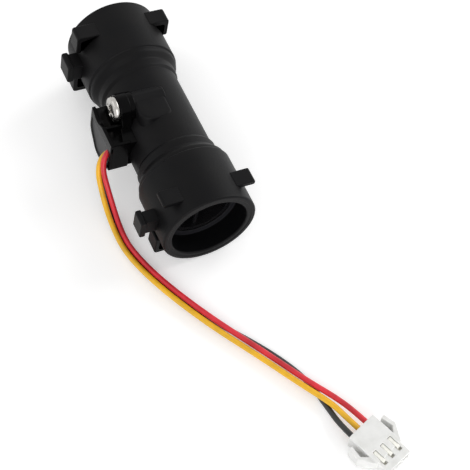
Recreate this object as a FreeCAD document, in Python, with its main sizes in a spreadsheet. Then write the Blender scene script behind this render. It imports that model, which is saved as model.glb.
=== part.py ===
import FreeCAD, Part
import math
import os
import Sketcher

# Water flow sensor: a moulded tube with quick-connect sockets at both ends and an
# axial turbine inside, read by a Hall effect module screwed to its side.
# Y is the flow axis, the inlet mouth is at Y = 0, and the module is on the -X side.

SIZES = [
    # flow body, along the flow axis from the inlet mouth
    ("body_length", 68.0),
    ("socket_radius", 10.2),
    ("collar_wall", 2.5),
    ("collar_radius", "=socket_radius + collar_wall"),
    ("collar_length", 16.2),
    ("crest_drop", 0.45),
    ("shoulder_round", 1.3),
    ("shoulder_length", 3.0),
    ("seat_step", 1.6),
    ("seat_radius", "=socket_radius - seat_step"),
    ("tube_step", 1.0),
    ("tube_bore", "=seat_radius - tube_step"),
    ("barrel_wall", 2.85),
    ("barrel_radius", "=tube_bore + barrel_wall"),
    ("band_step", 0.5),
    ("band_radius", "=barrel_radius + band_step"),
    ("band_length", 2.2),
    ("band_slope", 0.8),
    ("barrel_start", "=collar_length + shoulder_length + band_length + band_slope"),
    ("rim_bevel", 0.5),
    ("roll_angle", 10.5),
    ("socket_depth", 6.0),
    ("inlet_seat_depth", 5.8),
    ("outlet_seat_depth", 12.4),
    # coupling lugs and key
    ("lug_start", 3.6),
    ("lug_length", 4.4),
    ("lug_drop", 2.1),
    ("lug_height", "=collar_radius - lug_drop"),
    ("lug_wall", 1.8),
    ("lug_inset", 0.2),
    ("lug_reach", "=collar_radius - lug_inset"),
    ("lug_sink", 5.7),
    ("lug_root", "=collar_radius - lug_sink"),
    ("hook_wall", 1.4),
    ("hook_sink", 1.27),
    ("hook_foot", "=sqrt(collar_radius ^ 2 - (lug_reach - hook_wall) ^ 2) - hook_sink"),
    ("key_start", 4.3),
    ("key_length", 4.9),
    ("key_stand", 4.5),
    ("key_reach", "=collar_radius + key_stand"),
    ("key_wall", 2.3),
    ("key_neck", "=key_reach - key_wall"),
    ("key_head", 3.5),
    ("key_heel", 2.2),
    ("key_stem", 2.9),
    # mounting plane of the sensor module, screw boss and pad on the barrel
    ("plate_stand", 0.95),
    ("plate_face", "=barrel_radius + plate_stand"),
    ("plate_wall", 3.0),
    ("boss_face", "=plate_face - plate_wall"),
    ("boss_radius", 3.3),
    ("boss_end", 1.6),
    ("screw_lead", 3.2),
    ("screw_along", "=body_length / 2 + screw_lead"),
    ("screw_drop", 2.65),
    ("screw_up", "=barrel_radius - screw_drop"),
    ("pad_lead", 3.8),
    ("pad_start", "=body_length / 2 - pad_lead"),
    ("pad_length", 9.6),
    ("pad_rise", 0.35),
    ("pad_height", "=barrel_radius + pad_rise"),
    ("pad_gap", 0.1),
    # turbine
    ("running_gap", 0.2),
    ("fit_gap", 0.03),
    ("guide_inset", 0.4),
    ("guide_start", "=socket_depth + guide_inset"),
    ("seat_slack", 0.2),
    ("guide_length", "=inlet_seat_depth - guide_inset - seat_slack"),
    ("guide_wall", 1.0),
    ("vane_wall", 1.0),
    ("guide_hub", 2.6),
    ("hub_overrun", 1.6),
    ("guide_hub_end", "=socket_depth + inlet_seat_depth + hub_overrun"),
    ("washer_radius", 2.2),
    ("washer_thickness", 0.3),
    ("shaft_radius", 0.75),
    ("bush_radius", 1.6),
    ("bush_length", 2.6),
    ("rotor_start", "=guide_hub_end + washer_thickness + running_gap * 2"),
    ("rear_lead", 7.9),
    ("rear_face", "=body_length / 2 + rear_lead"),
    ("rotor_end", "=rear_face - washer_thickness - running_gap * 2"),
    ("magnet_lead", 3.0),
    ("magnet_start", "=body_length / 2 - magnet_lead"),
    ("magnet_length", 8.0),
    ("magnet_clearance", 1.5),
    ("magnet_radius", "=tube_bore - magnet_clearance"),
    ("magnet_wall", 2.9),
    ("rotor_hub", "=magnet_radius - magnet_wall"),
    ("flange_length", 1.2),
    ("blade_lead", 1.8),
    ("blade_start", "=rotor_start + blade_lead"),
    ("blade_length", "=magnet_start - flange_length - blade_lead - blade_start"),
    ("blade_clearance", 0.45),
    ("blade_tip", "=tube_bore - blade_clearance"),
    ("blade_wall", 1.1),
    ("blade_twist", 66.0),
    ("blade_count", 4.0),
    ("clip_wall", 1.2),
    ("clip_length", 1.1),
    ("clip_gap", 3.0),
    # sensor housing, outline in Y and Z, depth along -X
    ("box_depth", 4.9),
    ("box_face", "=plate_face + box_depth"),
    ("box_lead", 6.6),
    ("box_near", "=body_length / 2 - box_lead"),
    ("box_run", 13.8),
    ("box_far", "=box_near + box_run"),
    ("box_drop", 2.0),
    ("box_top", "=screw_up - box_drop"),
    ("top_wall", 1.6),
    ("box_bottom", -6.6),
    ("box_heel", -4.2),
    ("box_heel_run", 6.0),
    ("box_round", 5.4),
    ("box_wall", 0.9),
    ("box_floor", 0.5),
    ("saddle_gap", 0.05),
    ("tab_radius", 3.9),
    ("screw_pocket", 3.4),
    # parts in the housing
    ("board_gap", 0.2),
    ("board_thickness", 0.8),
    ("hall_thickness", 1.2),
    ("hall_width", 4.0),
    ("hall_height", 3.0),
    ("chip_length", 2.0),
    ("chip_width", 1.25),
    ("chip_height", 0.5),
    ("potting_depth", "=box_depth - box_floor - hall_thickness - board_thickness - chip_height - potting_sink"),
    ("potting_sink", 0.25),
    # mounting screw
    ("head_radius", 3.0),
    ("head_height", 1.9),
    ("shank_radius", 1.4),
    ("shank_length", 6.0),
    ("recess_width", 0.9),
    ("recess_length", 3.4),
    ("recess_depth", 1.2),
    # wires and plug
    ("wire_radius", 0.72),
    ("wire_bury", 1.0),
    ("plug_x", 15.2),
    ("plug_y", -67.75),
    ("plug_turn", 20.0),
    ("plug_height", 5.6),
    ("plug_rear", 8.4),
    ("plug_front", 3.8),
    ("pin_pitch", 2.5),
    ("cavity_size", 1.9),
    ("plug_wall", 0.65),
    ("plug_half", "=pin_pitch + cavity_size / 2 + plug_wall"),
    ("tongue_wall", 0.35),
    ("tongue_half", "=pin_pitch + cavity_size / 2 + tongue_wall"),
    ("tongue_start", 0.6),
    ("arm_spread", 2.5),
    ("arm_flare", "=plug_half + arm_spread"),
    ("arm_wall", 1.0),
    ("arm_back", 6.6),
    ("arm_bend", 3.4),
    ("window_length", 4.0),
    ("window_width", 1.1),
    ("terminal_wall", 0.25),
    ("terminal_length", 9.0),
]

doc = FreeCAD.newDocument("WaterFlowSensor")
sheet = doc.addObject("Spreadsheet::Sheet", "Sheet")
for row, (name, value) in enumerate(SIZES, start=1):
    sheet.set("A%d" % row, name)
    sheet.set("B%d" % row, str(value))
    sheet.setAlias("B%d" % row, name)
doc.recompute()


# Sizes that remember the sheet formula they come from
class Size:
    """A number with its formula, so that sums of sizes stay tied to the sheet."""

    def __init__(self, value, text):
        self.value = float(value)
        self.text = text

    def __add__(self, other):
        other = as_size(other)
        return Size(self.value + other.value, "(%s + %s)" % (self.text, other.text))

    def __sub__(self, other):
        other = as_size(other)
        return Size(self.value - other.value, "(%s - %s)" % (self.text, other.text))

    def __mul__(self, other):
        other = as_size(other)
        return Size(self.value * other.value, "(%s * %s)" % (self.text, other.text))

    def __truediv__(self, other):
        other = as_size(other)
        return Size(self.value / other.value, "(%s / %s)" % (self.text, other.text))

    def __neg__(self):
        return Size(-self.value, "(0 - %s)" % self.text)


def as_size(value):
    return value if isinstance(value, Size) else Size(value, "%.6g" % value)


def cell(name):
    return Size(sheet.get(name), "Sheet." + name)


ZERO = as_size(0.0)
length = cell("body_length")


# Helpers for sketches and features
def bind(item, prop, size):
    item.setExpression(prop, as_size(size).text)


def new_body(label):
    body = doc.addObject("PartDesign::Body", label)
    body.Label = label
    return body


def new_sketch(body, name, plane, offset=None):
    """A sketch on one of the body's own origin planes, moved along its normal."""
    sketch = body.newObject("Sketcher::SketchObject", name)
    origin_plane = [item for item in body.Origin.OriginFeatures if item.Role == plane][0]
    sketch.AttachmentSupport = [(origin_plane, "")]
    sketch.MapMode = "FlatFace"
    if offset is not None:
        offset = as_size(offset)
        base = FreeCAD.Vector(0, 0, offset.value)
        sketch.AttachmentOffset = FreeCAD.Placement(base, FreeCAD.Rotation())
        bind(sketch, "AttachmentOffset.Base.z", offset)
    return sketch


def pin_point(sketch, geometry, position, across, up):
    """Fix one point of the sketch at two sizes from its origin."""
    index = sketch.addConstraint(
        Sketcher.Constraint("DistanceX", -1, 1, geometry, position, across.value))
    bind(sketch, "Constraints[%d]" % index, across)
    index = sketch.addConstraint(
        Sketcher.Constraint("DistanceY", -1, 1, geometry, position, up.value))
    bind(sketch, "Constraints[%d]" % index, up)


def add_outline(sketch, points, arcs=None):
    """A closed outline through the points; arcs maps a point's number to the centre
    of the clockwise or anticlockwise arc that leaves it, as (across, up, clockwise)."""
    points = [(as_size(across), as_size(up)) for across, up in points]
    corners = [FreeCAD.Vector(across.value, up.value, 0) for across, up in points]
    arcs = arcs or {}
    first = sketch.GeometryCount
    count = len(corners)
    for index in range(count):
        start = corners[index]
        finish = corners[(index + 1) % count]
        if index in arcs:
            across, up, clockwise = arcs[index]
            centre = FreeCAD.Vector(as_size(across).value, as_size(up).value, 0)
            low, high = (finish, start) if clockwise else (start, finish)
            circle = Part.Circle(centre, FreeCAD.Vector(0, 0, 1), (start - centre).Length)
            from_angle = math.atan2(low.y - centre.y, low.x - centre.x)
            to_angle = math.atan2(high.y - centre.y, high.x - centre.x)
            sketch.addGeometry(Part.ArcOfCircle(circle, from_angle, to_angle), False)
        else:
            sketch.addGeometry(Part.LineSegment(start, finish), False)

    def end_of(index, leaving):
        clockwise = index in arcs and arcs[index][2]
        return 1 if leaving != clockwise else 2

    for index in range(count):
        following = (index + 1) % count
        sketch.addConstraint(Sketcher.Constraint(
            "Coincident", first + index, end_of(index, False), first + following, end_of(following, True)))
    for index, (across, up) in enumerate(points):
        pin_point(sketch, first + index, end_of(index, True), across, up)
    for index, (across, up, clockwise) in arcs.items():
        chord = corners[(index + 1) % count] - corners[index]
        sideways = abs(chord.x) > abs(chord.y)
        kind, place = ("DistanceY", as_size(up)) if sideways else ("DistanceX", as_size(across))
        constraint = sketch.addConstraint(Sketcher.Constraint(kind, -1, 1, first + index, 3, place.value))
        bind(sketch, "Constraints[%d]" % constraint, place)


def add_rectangle(sketch, left, right, low, high):
    add_outline(sketch, [(left, low), (right, low), (right, high), (left, high)])


def add_circle(sketch, across, up, radius):
    across, up, radius = as_size(across), as_size(up), as_size(radius)
    centre = FreeCAD.Vector(across.value, up.value, 0)
    circle = Part.Circle(centre, FreeCAD.Vector(0, 0, 1), radius.value)
    index = sketch.addGeometry(circle, False)
    pin_point(sketch, index, 3, across, up)
    constraint = sketch.addConstraint(Sketcher.Constraint("Radius", index, radius.value))
    bind(sketch, "Constraints[%d]" % constraint, radius)


def origin_axis(body, role):
    return [item for item in body.Origin.OriginFeatures if item.Role == role][0]


def add_feature(body, kind, name, sketch):
    feature = body.newObject("PartDesign::" + kind, name)
    feature.Profile = sketch
    return feature


def revolve(body, name, sketch, cut=False):
    """Turn a profile drawn in X and Y about the flow axis."""
    feature = add_feature(body, "Groove" if cut else "Revolution", name, sketch)
    feature.ReferenceAxis = (origin_axis(body, "Y_Axis"), [""])
    feature.Angle = 360.0
    return feature


def extrude(body, name, sketch, depth, reverse=False, cut=False):
    feature = add_feature(body, "Pocket" if cut else "Pad", name, sketch)
    bind(feature, "Length", depth)
    feature.Reversed = reverse
    return feature


def polar(body, name, features, count, axis="Y_Axis"):
    pattern = body.newObject("PartDesign::PolarPattern", name)
    pattern.Originals = features
    pattern.Axis = (origin_axis(body, axis), [""])
    pattern.Angle = 360.0
    bind(pattern, "Occurrences", count)
    body.Tip = pattern
    return pattern


def along_flow(start):
    """Offset of a sketch on the XZ plane, whose normal points against the flow."""
    return -as_size(start)


def tube(label, inner, outer, start, run):
    """A plain ring or rod about the flow axis."""
    body = new_body(label)
    sketch = new_sketch(body, label + "_section", "XZ_Plane", along_flow(start))
    add_circle(sketch, ZERO, ZERO, outer)
    if inner is not None:
        add_circle(sketch, ZERO, ZERO, inner)
    extrude(body, label + "_pad", sketch, run, reverse=True)
    return body


# Flow body: one moulding with two sockets, lugs, keys, a screw boss and a pad
def collar_profile(gap=0.0):
    """Outer outline from the inlet rim to the outlet rim, closed along the axis, grown by a gap."""
    collar = cell("collar_radius")
    crest = collar - cell("crest_drop")
    band = cell("band_radius")
    barrel = cell("barrel_radius")
    shoulder = cell("collar_length")
    foot = shoulder + cell("shoulder_length")
    band_end = foot + cell("band_length")
    barrel_start = cell("barrel_start")
    bevel = cell("rim_bevel")
    half = [
        (collar - bevel, ZERO),
        (collar, bevel),
        (collar, shoulder),
        (crest, shoulder),
        (crest, shoulder + cell("shoulder_round")),
        (band, foot),
        (band, band_end),
        (barrel, barrel_start),
    ]
    half = [(radius + gap, along) for radius, along in half]
    mirrored = [(radius, length - along) for radius, along in reversed(half)]
    return [(ZERO, ZERO)] + half + mirrored + [(ZERO, length)]


def bore_profile():
    """Sockets, turbine seats and measuring tube."""
    socket = cell("socket_radius")
    seat = cell("seat_radius")
    depth = cell("socket_depth")
    inlet_seat = depth + cell("inlet_seat_depth")
    outlet_seat = length - depth - cell("outlet_seat_depth")
    narrow = cell("tube_bore")
    return [
        (ZERO, ZERO),
        (socket, ZERO),
        (socket, depth),
        (seat, depth),
        (seat, inlet_seat),
        (narrow, inlet_seat),
        (narrow, outlet_seat),
        (seat, outlet_seat),
        (seat, length - depth),
        (socket, length - depth),
        (socket, length),
        (ZERO, length),
    ]


def lug_outline(sketch, side, level, hooked):
    """One lug in X and Z: a flat plate, with a leg at its end where it is hooked."""
    root = cell("lug_root")
    reach = cell("lug_reach")
    top = cell("lug_height")
    under = top - cell("lug_wall")
    inner = reach - cell("hook_wall")
    foot = cell("hook_foot")
    if hooked:
        corners = [(root, under), (inner, under), (inner, foot), (reach, foot), (reach, top), (root, top)]
    else:
        corners = [(root, under), (reach, under), (reach, top), (root, top)]
    signed = [(across if side > 0 else -across, up if level > 0 else -up) for across, up in corners]
    add_outline(sketch, signed)


def make_flow_body():
    body = new_body("flow_body")
    outer = new_sketch(body, "outer_profile", "XY_Plane")
    add_outline(outer, collar_profile())
    revolve(body, "outer_form", outer)

    far_lugs = length - cell("lug_start") - cell("lug_length")
    for end, start in (("inlet", cell("lug_start")), ("outlet", far_lugs)):
        for side in (-1, 1):
            for level in (-1, 1):
                name = "%s_lug_%s%s" % (end, "left" if side < 0 else "right", "_low" if level < 0 else "_top")
                sketch = new_sketch(body, name + "_section", "XZ_Plane", along_flow(start))
                lug_outline(sketch, side, level, end == "outlet")
                extrude(body, name, sketch, cell("lug_length"), reverse=True)

    far_key = length - cell("key_start") - cell("key_length")
    for end, start in (("inlet", cell("key_start")), ("outlet", far_key)):
        sketch = new_sketch(body, end + "_key_section", "XZ_Plane", along_flow(start))
        stem = cell("key_stem")
        key_step = cell("key_head") - stem
        head = cell("key_head")
        heel = -cell("key_heel")
        neck = -cell("key_neck")
        reach = -cell("key_reach")
        root = -cell("barrel_radius")
        add_outline(sketch, [(root, heel + key_step), (root, stem), (neck, stem), (neck, head),
                             (reach, head), (reach, heel), (neck, heel), (neck, heel + key_step)])
        extrude(body, end + "_key", sketch, cell("key_length"), reverse=True)

    boss = new_sketch(body, "boss_section", "YZ_Plane", -cell("boss_face"))
    add_circle(boss, cell("screw_along"), cell("screw_up"), cell("boss_radius"))
    extrude(body, "screw_boss", boss, cell("boss_face") + cell("boss_end"))

    pad = new_sketch(body, "pad_section", "XY_Plane", cell("screw_up"))
    add_rectangle(pad, -cell("boss_face") + cell("pad_gap"), cell("boss_end"), cell("pad_start"), cell("pad_start") + cell("pad_length"))
    extrude(body, "barrel_pad", pad, cell("pad_height") - cell("screw_up"))

    bore = new_sketch(body, "bore_profile", "XY_Plane")
    add_outline(bore, bore_profile())
    revolve(body, "flow_bore", bore, cut=True)

    pilot = new_sketch(body, "pilot_section", "YZ_Plane", -cell("boss_face"))
    add_circle(pilot, cell("screw_along"), cell("screw_up"), cell("shank_radius"))
    depth = cell("shank_length") - (cell("plate_face") - cell("boss_face")) + cell("running_gap")
    extrude(body, "pilot_hole", pilot, depth, cut=True, reverse=True)
    return body


flow_body = make_flow_body()


# Flow guide: a ring, crossed vanes and a hub with a nose, pressed into the inlet seat
def spider(label, ring_start, hub_profile, vane_start):
    """A bearing spider: outer ring, two crossed plates and a turned hub."""
    body = new_body(label)
    outer = cell("seat_radius") - cell("fit_gap")
    inner = outer - cell("guide_wall")
    ring_end = ring_start + cell("guide_length")
    rim = new_sketch(body, label + "_rim_profile", "XY_Plane")
    add_outline(rim, [(inner, ring_start), (outer, ring_start), (outer, ring_end), (inner, ring_end)])
    revolve(body, label + "_rim", rim)
    vane = new_sketch(body, label + "_vane_section", "XZ_Plane", along_flow(vane_start))
    half = cell("vane_wall") / 2
    add_rectangle(vane, -inner - half, inner + half, -half, half)
    plate = extrude(body, label + "_vane", vane, cell("guide_length") - cell("vane_wall"), reverse=True)
    doc.recompute()
    polar(body, label + "_vanes", [plate], as_size(4))
    hub = new_sketch(body, label + "_hub_profile", "XY_Plane")
    add_outline(hub, hub_profile)
    revolve(body, label + "_hub", hub)
    return body


def bush_pocket(body, label, start, run):
    """The round pocket in a spider's hub that holds its bush."""
    pocket = new_sketch(body, label + "_pocket_profile", "XY_Plane")
    radius = cell("bush_radius")
    add_outline(pocket, [(ZERO, start), (radius, start), (radius, start + run), (ZERO, start + run)])
    revolve(body, label + "_pocket", pocket, cut=True)


guide_start = cell("guide_start")
hub_end = cell("guide_hub_end")
hub_radius = cell("guide_hub")
nose_tip = hub_radius / 4
shaft_room = cell("running_gap") + cell("bush_length")
flow_guide = spider(
    "flow_guide",
    guide_start,
    [(ZERO, guide_start), (nose_tip, guide_start), (hub_radius, guide_start + hub_radius),
     (hub_radius, hub_end), (ZERO, hub_end)],
    guide_start + cell("vane_wall"))
front_seat = hub_end - cell("bush_length")
bush_pocket(flow_guide, "front_bush", front_seat - cell("running_gap"), shaft_room)

# Turbine rotor: hub, helical blades and a flange that the ring magnet sits against
rotor_start = cell("rotor_start")
rotor_end = cell("rotor_end")
rotor_hub = cell("rotor_hub")


def make_rotor():
    body = new_body("rotor")
    bore = cell("shaft_radius")
    hub = new_sketch(body, "hub_profile", "XY_Plane")
    flange = cell("magnet_radius")
    magnet_start = cell("magnet_start")
    flange_start = magnet_start - cell("flange_length")
    add_outline(hub, [
        (bore, rotor_start),
        (rotor_hub, rotor_start),
        (rotor_hub, flange_start),
        (flange, flange_start),
        (flange, magnet_start),
        (rotor_hub, magnet_start),
        (rotor_hub, rotor_end),
        (bore, rotor_end),
    ])
    revolve(body, "hub", hub)

    steps = 3
    sections = []
    half = cell("blade_wall") / 2
    low = rotor_hub - half
    for step in range(steps + 1):
        share = step / steps
        place = cell("blade_start") + cell("blade_length") * share
        section = new_sketch(body, "blade_section_%d" % step, "XZ_Plane", along_flow(place))
        turn = cell("blade_twist") * share
        section.AttachmentOffset = FreeCAD.Placement(
            FreeCAD.Vector(0, 0, -place.value),
            FreeCAD.Rotation(FreeCAD.Vector(0, 0, 1), turn.value))
        bind(section, "AttachmentOffset.Base.z", -place)
        bind(section, "AttachmentOffset.Rotation.Angle", turn)
        add_rectangle(section, -half, half, low, cell("blade_tip"))
        sections.append(section)
    blade = body.newObject("PartDesign::AdditiveLoft", "blade")
    blade.Profile = sections[0]
    blade.Sections = sections[1:]
    blade.Ruled = False
    doc.recompute()
    polar(body, "blades", [blade], cell("blade_count"))
    return body


rotor = make_rotor()
magnet_start = cell("magnet_start")
rotor_magnet = tube("rotor_magnet", rotor_hub, cell("magnet_radius"), magnet_start, cell("magnet_length"))

# Shaft, bushes and thrust washers
bush_bore = cell("shaft_radius") + cell("fit_gap")
front_bush = tube("front_bush", bush_bore, cell("bush_radius"), front_seat, cell("bush_length"))
rear_face = cell("rear_face")
rear_bush = tube("rear_bush", bush_bore, cell("bush_radius"), rear_face, cell("bush_length"))
shaft_length = rear_face + cell("bush_length") - front_seat
rotor_shaft = tube("rotor_shaft", None, cell("shaft_radius"), front_seat, shaft_length)
front_washer = tube("front_washer", bush_bore, cell("washer_radius"),
                    rotor_start - cell("washer_thickness") - cell("running_gap"), cell("washer_thickness"))
rear_washer = tube("rear_washer", bush_bore, cell("washer_radius"),
                   rotor_end + cell("running_gap"), cell("washer_thickness"))

# Rear carrier: the outlet spider that holds the rear bush, and the clip behind it
carrier_start = length - cell("socket_depth") - cell("outlet_seat_depth") + cell("fit_gap")
carrier_end = carrier_start + cell("guide_length")
tail_end = carrier_end + hub_radius
rear_carrier = spider(
    "rear_carrier",
    carrier_start,
    [(ZERO, rear_face), (hub_radius, rear_face), (hub_radius, carrier_end - hub_radius),
     (nose_tip, carrier_end), (ZERO, carrier_end)],
    carrier_start)
bush_pocket(rear_carrier, "rear_bush", rear_face, shaft_room)


def make_clip():
    """A sprung split ring in the outlet seat, behind the rear carrier."""
    outer = cell("seat_radius") - cell("fit_gap")
    start = carrier_end + cell("fit_gap")
    body = tube("retaining_clip", outer - cell("clip_wall"), outer, start, cell("clip_length"))
    gap = new_sketch(body, "clip_gap_section", "XZ_Plane", along_flow(start))
    half = cell("clip_gap") / 2
    add_rectangle(gap, -half, half, ZERO, cell("collar_radius"))
    extrude(body, "clip_gap_cut", gap, cell("clip_length"), reverse=False, cut=True)
    return body


retaining_clip = make_clip()


# Sensor housing: a plate with a rounded screw tab, and a box open to the -X side
def box_outline(sketch, inset, top):
    """The box in Y and Z, drawn in by a wall; its heel at the near end is cut back."""
    near = cell("box_near") + inset
    far = cell("box_far") - inset
    bottom = cell("box_bottom") + inset
    heel = cell("box_heel") + inset
    centre_along = cell("box_far") - cell("box_round")
    centre_up = cell("box_bottom") + cell("box_round")
    points = [(near, heel), (near + cell("box_heel_run"), bottom), (centre_along, bottom),
              (far, centre_up), (far, top), (near, top)]
    add_outline(sketch, points, {2: (centre_along, centre_up, False)})


def make_sensor_housing():
    body = new_body("sensor_housing")
    plate_face = cell("plate_face")
    box_face = cell("box_face")
    thickness = plate_face - cell("boss_face")
    screw_along = cell("screw_along")
    screw_up = cell("screw_up")

    plate = new_sketch(body, "plate_section", "YZ_Plane", -plate_face)
    centre_along = cell("box_far") - cell("box_round")
    centre_up = cell("box_bottom") + cell("box_round")
    points = [(cell("box_near"), cell("box_heel")),
              (cell("box_near") + cell("box_heel_run"), cell("box_bottom")),
              (centre_along, cell("box_bottom")),
              (cell("box_far"), centre_up),
              (screw_along + cell("tab_radius"), screw_up),
              (screw_along - cell("tab_radius"), screw_up)]
    add_outline(plate, points, {2: (centre_along, centre_up, False), 4: (screw_along, screw_up, False)})
    extrude(body, "plate", plate, thickness)
    box = new_sketch(body, "box_section", "YZ_Plane", -box_face)
    box_outline(box, ZERO, cell("box_top"))
    extrude(body, "box", box, box_face - plate_face)

    cavity = new_sketch(body, "cavity_section", "YZ_Plane", -box_face)
    box_outline(cavity, cell("box_wall"), cell("box_top") - cell("top_wall"))
    depth = box_face - plate_face - cell("box_floor")
    extrude(body, "cavity", cavity, depth, cut=True, reverse=True)
    access = new_sketch(body, "screw_access_section", "YZ_Plane", -box_face)
    add_circle(access, screw_along, screw_up, cell("screw_pocket"))
    extrude(body, "screw_access", access, box_face - plate_face, cut=True, reverse=True)
    hole = new_sketch(body, "screw_hole_section", "YZ_Plane", -plate_face)
    add_circle(hole, screw_along, screw_up, cell("shank_radius") + cell("running_gap"))
    extrude(body, "screw_hole", hole, thickness, cut=True, reverse=True)
    saddle = new_sketch(body, "saddle_profile", "XY_Plane")
    add_outline(saddle, collar_profile(cell("saddle_gap")))
    revolve(body, "saddle", saddle, cut=True)
    return body


sensor_housing = make_sensor_housing()

# Parts in the box, from its floor outward: Hall element, board, chips, potting
box_floor = cell("plate_face") + cell("box_floor")
hall_face = box_floor + cell("hall_thickness")
board_face = hall_face + cell("board_thickness")
chip_face = board_face + cell("chip_height")
potting_face = cell("box_face") - cell("potting_sink")


def box_layer(label, inner_face, outer_face, inset, top):
    """A flat piece with the box's own outline, between two depths along -X."""
    body = new_body(label)
    sketch = new_sketch(body, label + "_section", "YZ_Plane", -outer_face)
    box_outline(sketch, inset, top)
    extrude(body, label + "_pad", sketch, outer_face - inner_face)
    return body


cavity_top = cell("box_top") - cell("top_wall")
board_gap = cell("board_gap")
circuit_board = box_layer("circuit_board", hall_face, board_face, cell("box_wall") + board_gap, cavity_top - board_gap)
potting = box_layer("potting", potting_face - cell("potting_depth"), potting_face, cell("box_wall"), cavity_top)


def block(label, outer_face, depth, along, run, low, height):
    """A small rectangular piece on the board."""
    body = new_body(label)
    sketch = new_sketch(body, label + "_section", "YZ_Plane", -outer_face)
    add_rectangle(sketch, along, along + run, low, low + height)
    extrude(body, label + "_pad", sketch, depth)
    return body


middle = length / 2
hall_sensor = block("hall_sensor", hall_face, cell("hall_thickness"), middle - cell("hall_width") / 2,
                    cell("hall_width"), -cell("hall_height") / 2, cell("hall_height"))
chip_depth = cell("chip_height")
chip_width = cell("chip_width")
capacitor = block("capacitor", chip_face, chip_depth, middle, cell("chip_length"), chip_width / 2, chip_width)
resistor = block("resistor", chip_face, chip_depth, middle, cell("chip_length"), -chip_width * 1.5, chip_width)


# Mounting screw: pan head with a crossed recess, along X through the tab into the boss
def make_screw():
    body = new_body("mounting_screw")
    radius = cell("head_radius")
    height = cell("head_height")
    face = cell("plate_face")
    profile = new_sketch(body, "screw_profile", "XY_Plane", cell("screw_up"))
    along = cell("screw_along")
    shank = cell("shank_radius")
    tip = cell("shank_length")
    edge = height / 3
    add_outline(profile, [
        (-face - height, along),
        (-face - height, along + radius / 2),
        (-face - edge, along + radius),
        (-face, along + radius),
        (-face, along + shank),
        (-face + tip, along + shank),
        (-face + tip, along),
    ])
    feature = add_feature(body, "Revolution", "screw_turned", profile)
    feature.ReferenceAxis = (profile, ["Edge7"])
    feature.Angle = 360.0
    recess = new_sketch(body, "recess_section", "YZ_Plane", -face - height)
    half_width = cell("recess_width") / 2
    half_length = cell("recess_length") / 2
    up = cell("screw_up")
    add_outline(recess, [
        (along - half_length, up - half_width), (along - half_width, up - half_width),
        (along - half_width, up - half_length), (along + half_width, up - half_length),
        (along + half_width, up - half_width), (along + half_length, up - half_width),
        (along + half_length, up + half_width), (along + half_width, up + half_width),
        (along + half_width, up + half_length), (along - half_width, up + half_length),
        (along - half_width, up + half_width), (along - half_length, up + half_width),
    ])
    cross = extrude(body, "recess", recess, cell("recess_depth"), cut=True, reverse=True)
    cross.TaperAngle = -14.0
    return body


mounting_screw = make_screw()


# Plug: a three-way housing on its own plane, rear towards +Y, with a sprung arm each side
def make_connector_housing():
    body = new_body("connector_housing")
    half = cell("plug_half")
    rear = cell("plug_rear")
    tongue = -cell("tongue_start")
    height = cell("plug_height")
    block_sketch = new_sketch(body, "block_section", "XY_Plane")
    add_rectangle(block_sketch, -half, half, tongue, rear)
    extrude(body, "block", block_sketch, height)
    tongue_half = cell("tongue_half")
    step = cell("arm_wall") / 2
    tongue_sketch = new_sketch(body, "tongue_section", "XY_Plane", step)
    add_rectangle(tongue_sketch, -tongue_half, tongue_half, -cell("plug_front"), tongue)
    extrude(body, "tongue", tongue_sketch, height - step * 2)

    wall = cell("arm_wall")
    flare = cell("arm_flare")
    back = cell("arm_back")
    bend = cell("arm_bend")
    for side in (-1, 1):
        arm = new_sketch(body, "arm_section_%s" % ("left" if side < 0 else "right"), "XY_Plane", step)
        corners = [(half - step, tongue), (half, tongue), (flare, bend), (half + wall * 2, back),
                   (half + wall, back), (flare - wall, bend), (half - step, tongue + wall * 2)]
        add_outline(arm, [(across if side > 0 else -across, up) for across, up in corners])
        extrude(body, "arm_%s" % ("left" if side < 0 else "right"), arm, height - step * 2)

    cavity_half = cell("cavity_size") / 2
    window_half = cell("window_width") / 2
    pitch = cell("pin_pitch")
    for number, place in enumerate((-pitch, ZERO, pitch), start=1):
        cavity = new_sketch(body, "cavity_section_%d" % number, "XZ_Plane", -rear)
        add_rectangle(cavity, place - cavity_half, place + cavity_half,
                      height / 2 - cavity_half, height / 2 + cavity_half)
        extrude(body, "cavity_%d" % number, cavity, rear + cell("plug_front"), cut=True, reverse=True)
        window = new_sketch(body, "window_section_%d" % number, "XY_Plane", height)
        reach = cell("window_length") / 2
        add_rectangle(window, place - window_half, place + window_half, -reach, reach)
        extrude(body, "window_%d" % number, window, height / 2, cut=True)
    return body


connector_housing = make_connector_housing()
terminal_rear = cell("plug_rear") - cell("wire_bury") * 1.5


def make_terminal(number, place):
    """A folded box contact in its cavity, open at both ends."""
    label = "terminal_%d" % number
    body = new_body(label)
    half = cell("cavity_size") / 2 - cell("fit_gap")
    inner = half - cell("terminal_wall")
    middle_up = cell("plug_height") / 2
    section = new_sketch(body, label + "_section", "XZ_Plane", -terminal_rear)
    add_rectangle(section, place - half, place + half, middle_up - half, middle_up + half)
    add_rectangle(section, place - inner, place + inner, middle_up - inner, middle_up + inner)
    extrude(body, label + "_fold", section, cell("terminal_length"), reverse=False)
    return body


pitch = cell("pin_pitch")
terminals = [make_terminal(number, place) for number, place in enumerate((-pitch, ZERO, pitch), start=1)]

# Placements: the sensor lies rolled on its collars and lugs, the plug lies flat
floor_level = -cell("collar_radius")
rolled = [flow_body, flow_guide, front_bush, front_washer, rotor, rotor_magnet, rotor_shaft,
          rear_washer, rear_bush, rear_carrier, retaining_clip, sensor_housing, circuit_board,
          hall_sensor, capacitor, resistor, potting, mounting_screw]
roll = cell("roll_angle")
for item in rolled:
    item.Placement = FreeCAD.Placement(FreeCAD.Vector(), FreeCAD.Rotation(FreeCAD.Vector(0, 1, 0), roll.value))
    bind(item, "Placement.Rotation.Angle", roll)

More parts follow.
